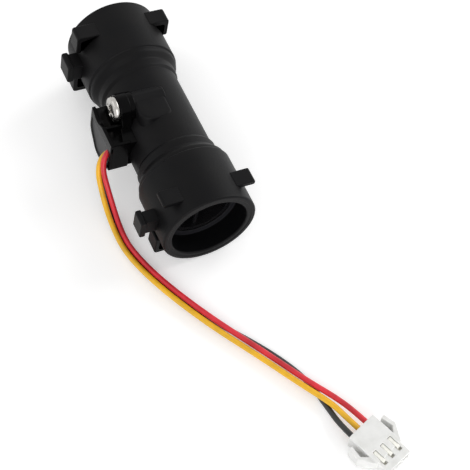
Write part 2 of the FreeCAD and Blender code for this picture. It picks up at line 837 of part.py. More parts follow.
plug_base = FreeCAD.Vector(cell("plug_x").value, cell("plug_y").value, floor_level.value)
plug_turn = cell("plug_turn")
plug_placement = FreeCAD.Placement(plug_base, FreeCAD.Rotation(FreeCAD.Vector(0, 0, 1), plug_turn.value))
for item in [connector_housing] + terminals:
    item.Placement = plug_placement
    bind(item, "Placement.Base.x", cell("plug_x"))
    bind(item, "Placement.Base.y", cell("plug_y"))
    bind(item, "Placement.Base.z", floor_level)
    bind(item, "Placement.Rotation.Angle", plug_turn)


# Wires: straight runs joined by tangent arcs, from the potting to their terminals
def plug_point(across, back):
    """A point on the plug's pin line, in the part's own frame."""
    local = FreeCAD.Vector(across.value, back.value, cell("plug_height").value / 2)
    return plug_placement.multVec(local)


def wire_path(points):
    """Edges through the points, each corner rounded as widely as its runs allow."""
    share = 0.45
    edges = []
    radii = []
    start = points[0]
    for before, corner, after in zip(points, points[1:], points[2:]):
        incoming = (corner - before).normalize()
        outgoing = (after - corner).normalize()
        half_turn = incoming.getAngle(outgoing) / 2
        tangent = share * min((corner - before).Length, (after - corner).Length)
        radius = tangent / math.tan(half_turn)
        arc_start = corner - incoming * tangent
        arc_end = corner + outgoing * tangent
        inward = (outgoing - incoming).normalize()
        arc_middle = corner + inward * (radius / math.cos(half_turn) - radius)
        edges.append(Part.LineSegment(start, arc_start).toShape())
        edges.append(Part.Arc(arc_start, arc_middle, arc_end).toShape())
        radii.append(radius)
        start = arc_end
    edges.append(Part.LineSegment(start, points[-1]).toShape())
    return Part.Wire(edges), radii


def make_wire(label, route, across):
    last_run = 5.5
    points = [FreeCAD.Vector(*point) for point in route]
    points.append(plug_point(across, terminal_rear + last_run))
    points.append(plug_point(across, terminal_rear))
    path, radii = wire_path(points)
    radius = cell("wire_radius").value
    heading = (points[1] - points[0]).normalize()
    section = Part.Wire([Part.Circle(points[0], heading, radius).toShape()])
    print(label, [tuple(round(value, 2) for value in point) for point in points[-2:]])
    solid = path.makePipeShell([section], True, False)
    wire = doc.addObject("Part::Feature", label)
    wire.Label = label
    wire.Shape = solid
    expected = math.pi * radius ** 2 * path.Length
    print("%s length %.1f, volume %.1f of %.1f, radii %s"
          % (label, path.Length, solid.Volume, expected, ", ".join("%.1f" % value for value in radii)))
    return wire


RED_ROUTE = [
    (-14.63, 30.1, 3.63), (-18.2, 28.8, 3.5), (-19.15, 22.5, -6.4), (-19.45, 13.2, -10.6),
    (-18.15, 6.1, -10.6), (-14.55, -4.3, -10.58), (-7.9, -18.05, -10.36), (0.4, -31.85, -10.8),
    (6.43, -42.92, -10.5), (10.9, -50.0, -10.35),
]
YELLOW_ROUTE = [
    (-14.93, 30.9, 2.06), (-19.6, 29.9, 1.9), (-20.95, 22.3, -7.3), (-21.15, 13.2, -10.6),
    (-19.85, 5.8, -10.6), (-16.1, -5.0, -10.6), (-9.35, -18.85, -10.7), (-0.9, -33.0, -10.79),
    (5.15, -44.0, -10.5), (9.4, -51.0, -10.35),
]
BLACK_ROUTE = [
    (-15.16, 29.55, 0.9), (-18.2, 29.1, 0.3), (-19.6, 22.2, -9.9), (-20.3, 13.0, -11.97),
    (-19.0, 5.95, -11.97), (-15.3, -4.7, -11.97), (-7.75, -18.1, -11.97), (1.4, -31.1, -11.97),
    (7.0, -42.0, -11.97), (8.3, -50.6, -11.95),
]
wire_red = make_wire("wire_red", RED_ROUTE, pitch)
wire_yellow = make_wire("wire_yellow", YELLOW_ROUTE, ZERO)
wire_black = make_wire("wire_black", BLACK_ROUTE, -pitch)

# Check and write every piece
doc.recompute()
pieces = rolled + [wire_red, wire_yellow, wire_black, connector_housing] + terminals
for item in doc.Objects:
    if "Invalid" in item.State or "Error" in item.State:
        raise RuntimeError("%s failed: %s" % (item.Label, item.State))
for item in pieces:
    if item.Shape.isNull() or not item.Shape.isValid():
        raise RuntimeError("%s has no valid shape" % item.Label)
os.makedirs("parts", exist_ok=True)
for item in pieces:
    item.Shape.exportStep("parts/%s.step" % item.Label)
print("%d pieces written" % len(pieces))
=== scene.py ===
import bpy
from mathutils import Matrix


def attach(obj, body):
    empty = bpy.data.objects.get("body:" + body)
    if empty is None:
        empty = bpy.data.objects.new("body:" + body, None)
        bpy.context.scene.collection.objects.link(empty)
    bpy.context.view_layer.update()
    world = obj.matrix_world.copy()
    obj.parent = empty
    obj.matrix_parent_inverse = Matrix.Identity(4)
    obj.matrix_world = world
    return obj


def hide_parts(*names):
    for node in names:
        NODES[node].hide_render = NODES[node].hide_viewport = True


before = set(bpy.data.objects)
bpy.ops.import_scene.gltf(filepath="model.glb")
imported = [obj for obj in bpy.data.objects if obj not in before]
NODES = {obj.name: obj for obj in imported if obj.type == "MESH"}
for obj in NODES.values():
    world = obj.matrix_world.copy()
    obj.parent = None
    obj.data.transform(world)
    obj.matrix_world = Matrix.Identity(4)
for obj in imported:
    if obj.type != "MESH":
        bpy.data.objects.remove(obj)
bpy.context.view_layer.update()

import math

import bmesh
import bpy
import numpy as np
from mathutils import Matrix, Vector

MM = 0.001
scene = bpy.context.scene

# Camera
# It stands on the inlet side, 60 degrees above the floor, and looks down on the sensor through
# a long lens.
camera_place = Vector((-56.76, -140.42, 259.94)) * MM
look = Vector((0.2058, 0.4542, -0.8668)).normalized()
across = Vector((0.9109, -0.4127, 0.0)).normalized()
lens = bpy.data.cameras.new("camera")
lens.lens = 91.9
lens.sensor_width = 36.0
lens.clip_start = 0.01
camera = bpy.data.objects.new("camera", lens)
scene.collection.objects.link(camera)
facing = Matrix((across, across.cross(look), -look)).transposed()
camera.matrix_world = Matrix.Translation(camera_place) @ facing.to_4x4()
scene.camera = camera


# Plug
# A three-way housing in natural nylon, milky where it is thick, with a sprung arm on each side.
# The tinned contacts are stamped boxes, and the lance of each one snaps up into a window.
class Socket:
    """A node socket that takes Python's operators: each one adds a Math node."""

    def __init__(self, nodes, socket):
        self.nodes = nodes
        self.socket = socket

    def maths(self, operation, other):
        return self.nodes.node("Math", (self, other), operation=operation)

    def __add__(self, other):
        return self.maths("ADD", other)

    __radd__ = __add__

    def __mul__(self, other):
        return self.maths("MULTIPLY", other)

    __rmul__ = __mul__

    def __sub__(self, other):
        return self.maths("SUBTRACT", other)

    def __rsub__(self, other):
        return self.nodes.node("Math", (other, self), operation="SUBTRACT")

    def __pow__(self, other):
        return self.maths("POWER", other)

    def between(self, low, high):
        """0 below low, 1 above high, and smooth between."""
        return self.nodes.node("MapRange", {"Value": self, "From Min": low, "From Max": high},
                               interpolation_type="SMOOTHSTEP")


class Nodes:
    """A node tree and a way to add nodes to it."""

    def __init__(self, tree):
        self.tree = tree

    def feed(self, socket, value):
        """Gives a socket its link, its number, or its colour, which takes an alpha of 1."""
        if isinstance(value, Socket):
            self.tree.links.new(value.socket, socket)
        else:
            socket.default_value = (*value, 1.0) if isinstance(value, tuple) else value

    def node(self, kind, values=(), output=0, **settings):
        """A node of this type: its settings first, then the values or links of its sockets."""
        made = self.tree.nodes.new("ShaderNode" + kind)
        for name, value in settings.items():
            setattr(made, name, value)
        pairs = values.items() if isinstance(values, dict) else enumerate(values)
        for key, value in pairs:
            self.feed(made.inputs[key], value)
        return Socket(self, made.outputs[output])

    def mix(self, amount, first, second):
        """The first colour where amount is 0, the second where it is 1.

        A Mix node has its colours in inputs 6 and 7 and gives the mixed one in output 2.
        """
        return self.node("Mix", {0: amount, 6: first, 7: second}, output=2, data_type="RGBA")


class Shader(Nodes):
    """One material and its Principled node."""

    def __init__(self, name, colour, **fixed):
        self.material = bpy.data.materials.new(name)
        self.material.use_nodes = True
        super().__init__(self.material.node_tree)
        self.surface = self.tree.nodes["Principled BSDF"]
        self.set(Base_Color=colour, **fixed)

    def set(self, **values):
        """Feeds the Principled node's sockets, named with _ for a space."""
        for socket, value in values.items():
            self.feed(self.surface.inputs[socket.replace("_", " ")], value)
        return self

    def place(self):
        """Object coordinates, in millimetres."""
        coordinates = self.node("TexCoord", output="Object")
        return self.node("VectorMath", {0: coordinates, "Scale": 1.0 / MM}, operation="SCALE")

    def noise(self, size, detail=2.0):
        """Smooth noise from 0 to 1 whose grains are about this many millimetres across."""
        values = {"Vector": self.place(), "Scale": 1.0 / size, "Detail": detail}
        return self.node("TexNoise", values, output="Fac")

    def bump(self, height, distance):
        """Lets a height from 0 to 1 raise the surface by up to this many millimetres."""
        return self.set(Normal=self.node("Bump", {"Distance": distance * MM, "Height": height}))


def rounded(corners, steps=5):
    """Points and outward normals of a closed outline whose corners (u, v, radius) are arcs.

    An arc leaves its side at radius times the tangent of half the turn, and never takes more
    than 0.45 of a side. Its point is the centre plus the radius times the side's normal, which
    swings through the turn. A point of lead before and after the arc keeps the sides flat.
    """
    lead = 0.03
    most_of_side = 0.45
    least_turn = 1e-6
    data = np.array(corners, float)
    u, v = data[:, 0], data[:, 1]
    if (u * np.roll(v, -1) - v * np.roll(u, -1)).sum() < 0:
        data = data[::-1]
    point = data[:, :2]
    ahead = np.roll(point, -1, 0) - point
    run = np.linalg.norm(ahead, axis=1)
    leaving = ahead / run[:, None]
    coming = np.roll(leaving, 1, 0)
    crossed = coming[:, 0] * leaving[:, 1] - coming[:, 1] * leaving[:, 0]
    turn = np.arctan2(crossed, (coming * leaving).sum(1))
    half = np.maximum(np.tan(abs(turn) / 2), least_turn)
    tangent = np.minimum(data[:, 2] * half, most_of_side * np.minimum(run, np.roll(run, 1)))
    signed = (np.sign(turn) * tangent / half)[:, None, None]
    side = np.stack([coming[:, 1], -coming[:, 0]], 1)[:, None]
    angle = turn[:, None] * np.linspace(0, 1, steps + 1)
    side_u, side_v = side[..., 0], side[..., 1]
    normal = np.stack([side_u * np.cos(angle) - side_v * np.sin(angle),
                       side_u * np.sin(angle) + side_v * np.cos(angle)], -1)
    start = (point - coming * tangent[:, None])[:, None]
    arc = start + (normal - side) * signed
    before = arc[:, :1] - coming[:, None] * lead
    after = arc[:, -1:] + leaving[:, None] * lead
    outline = np.concatenate([before, arc, after], 1)
    normals = np.concatenate([normal[:, :1], normal, normal[:, -1:]], 1)
    return outline.reshape(-1, 2), normals.reshape(-1, 2)


def woven(grid, ring=False):
    """Faces over a grid of points that closes along its columns, with end caps or as a ring."""
    rows, columns = grid.shape[:2]
    row = np.arange(rows if ring else rows - 1)[:, None] * columns
    column = np.arange(columns)[None]
    beside = (column + 1) % columns
    above = (row + columns) % (rows * columns)
    quads = np.stack([row + column, row + beside, above + beside, above + column], -1)
    faces = quads.reshape(-1, 4).tolist()
    if not ring:
        faces += [list(range(columns)), list(range((rows - 1) * columns, rows * columns))]
    return grid.reshape(-1, 3), faces


def carried(stations, lay):
    """An outline carried through stations (corners, inset, level), each drawn in by its inset."""
    rows = []
    for corners, inset, level in stations:
        outline, normals = rounded(corners)
        place = outline - normals * inset
        rows.append(lay(place[:, 0], place[:, 1], np.full(len(place), level)))
    return woven(np.array(rows))


def block(corners, low, high, edge, lay):
    """A prism between two levels, whose ends turn in along quarter circles of the edge radius.

    On a quarter circle the inset is the radius times one minus the sine, and the rise is the
    radius times one minus the cosine. A short straight lead on both sides of it keeps the flat
    faces flat.
    """
    lead = 0.04
    swing = np.linspace(0, math.pi / 2, 5)
    inset = np.concatenate([[edge + lead], edge * (1 - np.sin(swing)), [0.0]])
    rise = np.concatenate([[0.0], edge * (1 - np.cos(swing)), [edge + lead]])
    stations = [(corners, i, low + r) for i, r in zip(inset, rise)]
    stations += [(corners, i, high - r) for i, r in zip(inset[::-1], rise[::-1])]
    return carried(stations, lay)


def piece(name, shells, material):
    """One finished object from closed shells, smooth, with its normals outwards."""
    merge_within = 0.002 * MM
    least_edge = 0.001 * MM
    points = np.concatenate([vertices for vertices, faces in shells])
    starts = np.cumsum([0] + [len(vertices) for vertices, faces in shells]).tolist()
    faces = [[index + start for index in face]
             for (vertices, listed), start in zip(shells, starts) for face in listed]
    mesh = bpy.data.meshes.new(name)
    mesh.from_pydata(points.tolist(), [], faces)
    work = bmesh.new()
    work.from_mesh(mesh)
    bmesh.ops.remove_doubles(work, verts=work.verts, dist=merge_within)
    bmesh.ops.dissolve_degenerate(work, edges=work.edges, dist=least_edge)
    bmesh.ops.recalc_face_normals(work, faces=work.faces)
    work.to_mesh(mesh)
    work.free()
    mesh.polygons.foreach_set("use_smooth", np.ones(len(mesh.polygons), bool))
    mesh.materials.append(material)
    made = bpy.data.objects.new(name, mesh)
    scene.collection.objects.link(made)
    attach(made, "housing")
    return made


def toned(colour, gains):
    """The colour with its red, green and blue each multiplied by a gain."""
    return tuple(value * gain for value, gain in zip(colour, gains))


def metal(name, colour, roughness, plating=1.0):
    """Plated or drawn metal: scuffs under a millimetre wide, a little darker, duller and dented."""
    shader = Shader(name, colour, Roughness=roughness, Metallic=plating)
    scuff = shader.noise(0.7, detail=3.0)
    scuffed = toned(colour, (0.86, 0.86, 0.86))
    tone = shader.mix(scuff.between(0.35, 0.75), colour, scuffed)
    shader.set(Base_Color=tone, Roughness=scuff * 0.2 + (roughness - 0.08))
    return shader.bump(scuff, 0.012).material


FLOOR = -12.7
PLUG_PLACE = (15.2, -67.75)
PLUG_TURN = math.radians(20.0)


def at_plug(u, v, w):
    """The plug's frame: across it, back along its wires and up from the floor.

    The first two are turned by the plug's angle, with its cosine and sine.
    """
    x = PLUG_PLACE[0] + u * math.cos(PLUG_TURN) - v * math.sin(PLUG_TURN)
    y = PLUG_PLACE[1] + u * math.sin(PLUG_TURN) + v * math.cos(PLUG_TURN)
    return np.stack([x, y, FLOOR + w], -1) * MM


milky = Shader("natural_nylon", (0.90, 0.90, 0.89), Roughness=0.38, Specular_IOR_Level=0.3,
               Subsurface_Weight=0.9)
milky.surface.inputs["Subsurface Radius"].default_value = (0.003, 0.003, 0.003)
flow_mark = milky.noise(2.2)
milky_tone = milky.mix(flow_mark.between(0.3, 0.75), (0.87, 0.87, 0.855), (0.80, 0.80, 0.78))
milky.set(Base_Color=milky_tone, Roughness=flow_mark * 0.12 + 0.32)
milky.bump(flow_mark, 0.03)

# The housing is the solid's own mesh, merged so that its edges can be broken by a small bevel.
shell = NODES["connector_housing"].data.copy()
merged = bmesh.new()
merged.from_mesh(shell)
bmesh.ops.remove_doubles(merged, verts=merged.verts, dist=0.001 * MM)
bmesh.ops.dissolve_limit(merged, angle_limit=0.02, verts=merged.verts, edges=merged.edges)
merged.to_mesh(shell)
merged.free()
shell.materials.clear()
shell.materials.append(milky.material)
housing = bpy.data.objects.new("plug_housing", shell)
scene.collection.objects.link(housing)
broken_edge = housing.modifiers.new("broken_edge", "BEVEL")
broken_edge.width = 0.14 * MM
broken_edge.segments = 2
broken_edge.limit_method = "ANGLE"
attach(housing, "housing")
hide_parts("connector_housing")

PITCH = 2.5
TUNNEL_LOW, TUNNEL_HIGH = 2.0, 3.6
LANCE_LOW, LANCE_HIGH = 3.4, 5.35


def strip(middle, half, near, far, arc):
    """The corners of a straight strip, half a width to each side of its middle line."""
    return [(middle - half, near, arc), (middle + half, near, arc),
            (middle + half, far, arc), (middle - half, far, arc)]


tin = metal("tinned_contact", (0.96, 0.95, 0.88), 0.40, plating=0.35)
contacts = []
for number, middle in enumerate((-PITCH, 0.0, PITCH), start=1):
    tunnel = strip(middle, 0.8, -2.1, 6.9, 0.25)
    lance = strip(middle, 0.45, -1.35, 1.9, 0.2)
    stamped = [block(tunnel, TUNNEL_LOW, TUNNEL_HIGH, 0.15, at_plug),
               block(lance, LANCE_LOW, LANCE_HIGH, 0.12, at_plug)]
    contact = piece("contact_%d" % number, stamped, tin)
    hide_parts("terminal_%d" % number)
    contacts.append(contact)

# Wires
# Three limp stranded wires in smooth PVC, from the potted module to the plug. They leave the
# potting together and drop. The black one lies on the floor, and the red and the yellow one run
# side by side at the height of its top. The routes are in millimetres, from potting to plug.
WIRE_RADIUS = 0.72
RED_ROUTE = [
    (-14.63, 30.1, 3.63), (-18.1, 28.8, 3.5), (-18.55, 22.5, -6.4), (-19.2, 13.2, -10.6),
    (-18.15, 6.1, -10.6), (-14.55, -4.3, -10.58), (-7.9, -18.05, -10.36), (0.4, -31.85, -10.8),
    (6.43, -42.92, -10.5), (10.9, -50.0, -10.35), (13.31, -55.24, -9.9), (15.19, -60.41, -9.9),
]
YELLOW_ROUTE = [
    (-14.93, 30.9, 2.06), (-19.1, 29.9, 1.9), (-20.5, 22.3, -7.3), (-20.8, 13.2, -10.6),
    (-19.85, 5.8, -10.6), (-16.1, -5.0, -10.6), (-9.35, -18.85, -10.7), (-0.9, -33.0, -10.79),
    (5.15, -44.0, -10.5), (9.4, -51.0, -10.35), (10.96, -56.1, -9.9), (12.84, -61.27, -9.9),
]
BLACK_ROUTE = [
    (-15.16, 29.55, 0.9), (-18.2, 29.1, 0.3), (-19.6, 22.2, -9.9), (-20.3, 13.0, -11.97),
    (-19.0, 5.95, -11.97), (-15.3, -4.7, -11.97), (-7.75, -18.1, -11.97), (1.4, -31.1, -11.97),
    (7.0, -42.0, -11.97), (8.3, -50.6, -11.95), (8.61, -56.95, -9.9), (10.49, -62.12, -9.9),
]


def smooth_line(name, route, radius):
    """A NURBS spline with the route's points as its control points, and a round section."""
    curve = bpy.data.curves.new(name, "CURVE")
    curve.dimensions = "3D"
    curve.bevel_depth = radius * MM
    curve.bevel_resolution = 6
    curve.resolution_u = 16
    curve.use_fill_caps = True
    spline = curve.splines.new("NURBS")
    spline.points.add(len(route) - 1)
    for point, (x, y, z) in zip(spline.points, route):
        point.co = (x * MM, y * MM, z * MM, 1.0)
    spline.order_u = 3
    spline.use_endpoint_u = True
    line = bpy.data.objects.new(name, curve)
    scene.collection.objects.link(line)
    return line


def insulation(name, colour, shade):
    """Smooth PVC: soft gloss, faint handling marks and slow changes of colour."""
    shader = Shader(name, colour, Roughness=0.36, IOR=1.5)
    mottle = shader.noise(5.0)
    tone = shader.mix(mottle.between(0.3, 0.8), colour, shade)
    grain = shader.noise(0.35)
    return shader.set(Base_Color=tone, Roughness=grain * 0.14 + 0.30).bump(grain, 0.012).material


wires = [
    ("red", RED_ROUTE, 106.7, (0.74, 0.024, 0.040), (0.48, 0.012, 0.022), (housing, contacts[2])),
    ("yellow", YELLOW_ROUTE, 107.9, (0.92, 0.50, 0.016), (0.68, 0.38, 0.012), (contacts[1],)),
    ("black", BLACK_ROUTE, 106.7, (0.012, 0.012, 0.012), (0.020, 0.020, 0.020), (contacts[0],)),
]
for shade_name, route, run, colour, shade, on_the_end in wires:
    wire = smooth_line("lead_" + shade_name, route, WIRE_RADIUS)
    wire.data.materials.append(insulation("pvc_" + shade_name, colour, shade))
    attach(wire, "housing")
    "insulation_" + shade_name
    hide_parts("wire_" + shade_name)
    [value * MM for value in route[0]]
    run * MM

# Moulded tube
# Black glass-filled nylon, moulded in one with its sockets, lugs, keys, pad and screw boss. The
# tool is spark-eroded, so the skin has a fine dull grain, and every edge is broken by a radius.
ROLL = math.radians(10.5)
LENGTH = 68.0
COLLAR = 12.7
NECK = 10.95
BARREL = 10.45
MOUTH = 11.5
MOUTH_FOOT = 11.35
FACE_STEP = 0.12
SOCKET = 10.2
SEAT_DEPTH = 6.0
SEAT_BORE = 8.6
BORE = 7.6
BORE_START = 11.8
BORE_END = 49.6
# Inside this radius the tube's colour has painted shade.
SHADED_BORE_RADIUS = 10.35


def rolled(x, y, z):
    """The tube's own frame, turned about the flow axis by its roll, in metres."""
    return np.stack([x * math.cos(ROLL) + z * math.sin(ROLL), y,
                     z * math.cos(ROLL) - x * math.sin(ROLL)], -1) * MM


def turned(corners, segments, lay, steps):
    """A closed profile of (radius, along) spun about the axis: radius times cosine and sine."""
    outline = rounded(corners, steps)[0]
    angle = np.linspace(0, 2 * math.pi, segments, endpoint=False)
    radius, along = outline[:, :1], outline[:, 1:]
    spun = lay(radius * np.cos(angle), along + 0 * angle, radius * np.sin(angle))
    return woven(spun, ring=True)


def nylon(name, colour, roughness, grain_height, gloss=0.3, bore=0.0):
    """Moulded nylon: flow clouds a few millimetres wide over a spark-eroded grain.

    Inside the bore radius, which is the root of x squared plus z squared, the wall has painted
    shade and is darker. A narrow ring at the depth of the first seat is paler, a painted highlight.
    """
    shader = Shader(name, colour, Roughness=roughness, Specular_IOR_Level=gloss)
    cloud = shader.noise(7.0)
    grain = shader.noise(0.16, detail=3.0)
    tone = shader.mix(cloud.between(0.3, 0.8), colour, toned(colour, (1.6, 1.5, 1.35)))
    if bore:
        x, y, z = (shader.node("SeparateXYZ", [shader.place()], output=axis) for axis in (0, 1, 2))
        # Painted shade darkens the colour inside the bore, and a painted highlight makes a narrow
        # ring on the seat ledge paler.
        outside = ((x * x + z * z) ** 0.5).between(bore - 0.12, bore)
        seat = (y.between(SEAT_DEPTH - 0.15, SEAT_DEPTH - 0.03)
                - y.between(SEAT_DEPTH + 0.02, SEAT_DEPTH + 0.14))
        wall = shader.mix(seat, toned(colour, (0.8, 0.8, 0.8)), toned(colour, (5.0, 5.0, 5.0)))
        tone = shader.mix(outside, wall, tone)
    shader.set(Base_Color=tone, Roughness=grain * 0.14 + cloud * 0.1 + (roughness - 0.12))
    return shader.bump(grain, grain_height).material


black_nylon = nylon("black_nylon", (0.0030, 0.0030, 0.0035), 0.46, 0.02, gloss=0.10,
                    bore=SHADED_BORE_RADIUS)

outer_half = [(COLLAR, 0.0, 0.6), (COLLAR, 16.2, 0.45), (12.3, 16.5, 0.3), (12.2, 17.6, 1.5),
              (NECK, 19.3, 0.9), (NECK, 21.4, 0.45), (BARREL, 22.2, 0.45)]
outer_back = [(radius, LENGTH - along, arc) for radius, along, arc in outer_half[::-1]]
inlet_bore = [(MOUTH, 0.0, 0.08), (MOUTH_FOOT, FACE_STEP, 0.08), (SOCKET, FACE_STEP, 0.4),
              (SOCKET, SEAT_DEPTH, 0.12), (SEAT_BORE, SEAT_DEPTH, 0.2),
              (SEAT_BORE, BORE_START, 0.12), (BORE, BORE_START, 0.2)]
outlet_bore = [(BORE, BORE_END, 0.2), (SEAT_BORE, BORE_END, 0.12),
               (SEAT_BORE, LENGTH - SEAT_DEPTH, 0.2), (SOCKET, LENGTH - SEAT_DEPTH, 0.12),
               (SOCKET, LENGTH - FACE_STEP, 0.4), (MOUTH_FOOT, LENGTH - FACE_STEP, 0.08),
               (MOUTH, LENGTH, 0.08)]
tube_profile = outer_half + outer_back + outlet_bore[::-1] + inlet_bore[::-1]
moulding = [turned(tube_profile, 168, rolled, steps=4)]


def across_flow(u, v, w):
    """An outline in X and Z, carried along the flow."""
    return rolled(u, w, v)


def through_side(u, v, w):
    """An outline in Y and Z, carried towards -X, away from the barrel."""
    return rolled(-w, u, v)


def upwards(u, v, w):
    """An outline in X and Y, carried up."""
    return rolled(u, v, w)


# Each collar has four lugs, two to a side. The upper two of the inlet are plain, and the others
# end in a hook. Those of the outlet are thicker and reach further out.
LUG_START = 3.6
LUG_LENGTH = 4.4
LUG_ROOT = 7.0
LUG_TOP = 10.6
LUG_REACH = 12.5
HOOK_WIDTH = 1.4
HOOK_END = 4.8
for start, at_outlet in ((LUG_START, False), (LENGTH - LUG_START - LUG_LENGTH, True)):
    under = LUG_TOP - (1.8 if at_outlet else 1.5)
    for side in (-1, 1):
        reach = LUG_REACH + (0.4 if side > 0 else 0.9) * at_outlet
        for level in (-1, 1):
            if at_outlet or level < 0:
                lug = [(LUG_ROOT, under, 0.3), (reach - HOOK_WIDTH, under, 0.4),
                       (reach - HOOK_WIDTH, HOOK_END, 0.3), (reach, HOOK_END, 0.5),
                       (reach, LUG_TOP, 0.8), (LUG_ROOT, LUG_TOP, 0.3)]
            else:
                lug = [(LUG_ROOT, under, 0.3), (reach, under, 0.5), (reach, LUG_TOP, 0.6),
                       (LUG_ROOT, LUG_TOP, 0.3)]
            signed = [(out * side, up * level, arc) for out, up, arc in lug]
            moulding.append(block(signed, start, start + LUG_LENGTH, 0.28, across_flow))

# Each collar also has a T-shaped key on the module's side: a head, and a stem set back from the
# head's near end by a step. The numbers are start, length, step, and the head's two faces.
key_stem = [(-15.9, -1.8, 0.3), (-15.9, 3.1, 0.3), (-10.6, 3.1, 0.3), (-10.6, -1.8, 0.3)]
for start, along, step, outer, inner in ((4.3, 4.5, 0.5, -17.2, -15.6),
                                         (LENGTH - 11.1, 5.6, 0.08, -16.7, -14.9)):
    key_head = [(outer, -2.3, 0.5), (outer, 3.5, 0.6), (inner, 3.5, 0.5), (inner, -2.3, 0.4)]
    moulding.append(block(key_head, start, start + along, 0.3, across_flow))
    moulding.append(block(key_stem, start + step, start + along - 0.4, 0.2, across_flow))

SCREW_ALONG = 37.2
SCREW_UP = 7.8
BOSS_RADIUS = 3.3
BOSS_FACE = 8.4


def about_screw(radius, angles, arc):
    """Corners on a circle about the screw, in Y and Z: radius times cosine and sine."""
    return [(SCREW_ALONG + radius * math.cos(angle), SCREW_UP + radius * math.sin(angle), arc)
            for angle in angles]


boss = about_screw(BOSS_RADIUS, np.linspace(0, 2 * math.pi, 12, endpoint=False), BOSS_RADIUS)
moulding.append(block(boss, -1.6, BOSS_FACE, 0.3, through_side))

# The pad on top has a drafted foot inside the barrel, and its upper edge turns in along a
# quarter circle.
PAD_EDGE = 0.9
PAD_BEND = 9.72
pad = [(-7.4, 29.6, 3.0), (1.4, 29.4, 1.6), (1.4, 39.6, 1.4), (-7.4, 39.6, 1.0)]
pad_foot = [(-7.4, 27.0, 3.6), (2.4, 27.9, 2.4), (2.4, 39.9, 1.5), (-7.4, 39.9, 1.0)]
pad_stations = [(pad_foot, 0.4, 3.9), (pad_foot, 0.0, 4.0), (pad_foot, 0.0, 7.0)]
pad_stations += [(pad, PAD_EDGE * (1 - math.cos(angle)), PAD_BEND + PAD_EDGE * math.sin(angle))
                 for angle in np.linspace(0, math.pi / 2, 6)]
moulding.append(carried(pad_stations, upwards))
tube = piece("moulded_tube", moulding, black_nylon)
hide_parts("flow_body")

# Turbine
# The flow guide, the rear carrier and the screw-bladed rotor are moulded in smoother nylon, and
# run on a steel shaft in acetal bushes, with a sintered ferrite ring behind the blades.
wet_nylon = nylon("turbine_nylon", (0.006, 0.006, 0.007), 0.28, 0.006, gloss=0.35)


def dress(node, material):
    """Gives a CAD node's own mesh this material."""
    NODES[node].data.materials.clear()
    NODES[node].data.materials.append(material)


for node in ("flow_guide", "rear_carrier", "rotor"):
    dress(node, wet_nylon)
acetal = nylon("bush_acetal", (0.62, 0.60, 0.54), 0.40, 0.008)
for node in ("front_bush", "rear_bush"):
    dress(node, acetal)
ferrite = nylon("sintered_ferrite", (0.030, 0.029, 0.028), 0.62, 0.03)
dress("rotor_magnet", ferrite)
steel = metal("bright_steel", (0.48, 0.465, 0.44), 0.20)
for node in ("front_washer", "rear_washer", "rotor_shaft"):
    dress(node, steel)
dress("retaining_clip", metal("phosphated_spring_steel", (0.10, 0.10, 0.105), 0.45))

# Sensor module
# A glossy nylon tray with a screw tab, open away from the barrel. Over its board it is filled
# with grey resin, which wets the walls and cures with a lightly glossy skin.
PLATE = 11.4
BOX_FACE = 16.3
BOX_NEAR, BOX_FAR, BOX_LOW = 27.4, 41.2, -6.6
WALL = 0.9
RIM = 0.22
TAB = 3.9
gloss_nylon = nylon("module_nylon", (0.0012, 0.0012, 0.0014), 0.20, 0.004, gloss=0.06)
half_turn = np.linspace(0.0, math.pi, 7)
plate = [(27.6, -4.2, 0.6), (33.4, BOX_LOW, 2.0), (38.0, BOX_LOW, 4.0), (BOX_FAR, -3.6, 4.0),
         (41.3, 2.0, 3.0)] + about_screw(TAB, half_turn, 3.0)


def box_outline(inset, top, notch, arc):
    """The tray in Y and Z, drawn in by a wall. The notch (near, level, far) clears the screw."""
    near, far, low = BOX_NEAR + inset, BOX_FAR - inset, BOX_LOW + inset
    notch_near, notch_level, notch_far = notch
    return [(near, -4.2 + inset, arc), (near + 6.0, low, arc + 1.5), (36.4, low, 4.6 - inset),
            (far, -2.0 + inset, 4.6 - inset), (far, top, arc), (notch_far, top, arc),
            (SCREW_ALONG, notch_level, 3.0), (notch_near, top, arc), (near, top, arc)]


outer_box = box_outline(0.0, 4.9, (34.1, 4.55, 40.3), 0.3)
inner_box = box_outline(WALL, 4.2, (35.4, 4.15, 39.0), 0.85)
rim_turn = [(RIM * (1 - math.cos(angle)), BOX_FACE - RIM * (1 - math.sin(angle)))
            for angle in np.linspace(0, math.pi / 2, 5)]
rim_start = BOX_FACE - RIM - 0.04
tray = [(outer_box, 0.3, PLATE - 0.6), (outer_box, 0.0, PLATE - 0.4), (outer_box, 0.0, rim_start)]
tray += [(outer_box, inset, level) for inset, level in rim_turn]
tray += [(inner_box, -inset, level) for inset, level in rim_turn[::-1]]
tray += [(inner_box, 0.0, rim_start), (inner_box, 0.0, PLATE + 0.5), (inner_box, 0.2, PLATE + 0.5)]

# Above the box a wall stands along the open face, with a dip under the screw head. Two ribs tie
# it to the plate, the rail fills the inner corner between them, and the tab is thicker towards
# the barrel.
WALL_TOP = 5.8
face_wall = [(BOX_NEAR, 2.6, 0.3), (BOX_NEAR, WALL_TOP, 0.35), (33.9, WALL_TOP, 0.35),
             (SCREW_ALONG, 4.3, 3.2), (40.5, WALL_TOP, 0.35), (BOX_FAR, WALL_TOP, 0.35),
             (BOX_FAR, 2.6, 0.3)]
rail = [(-8.0, 27.5, 0.4), (-13.0, 27.5, 0.4), (-11.4, 33.6, 0.4), (-11.4, 36.0, 0.4),
        (-8.0, 36.0, 0.4)]
thick_tab = [(41.0, 4.2, 0.5)] + about_screw(TAB * 0.98, half_turn, 3.0) + [(33.4, 4.2, 0.5)]
ribs = [[(along, low, 0.26), (along, WALL_TOP, 0.26), (along + wide, WALL_TOP, 0.26),
         (along + wide, low, 0.26)] for along, wide, low in ((27.36, 0.9, -3.9), (33.2, 0.8, 2.6))]
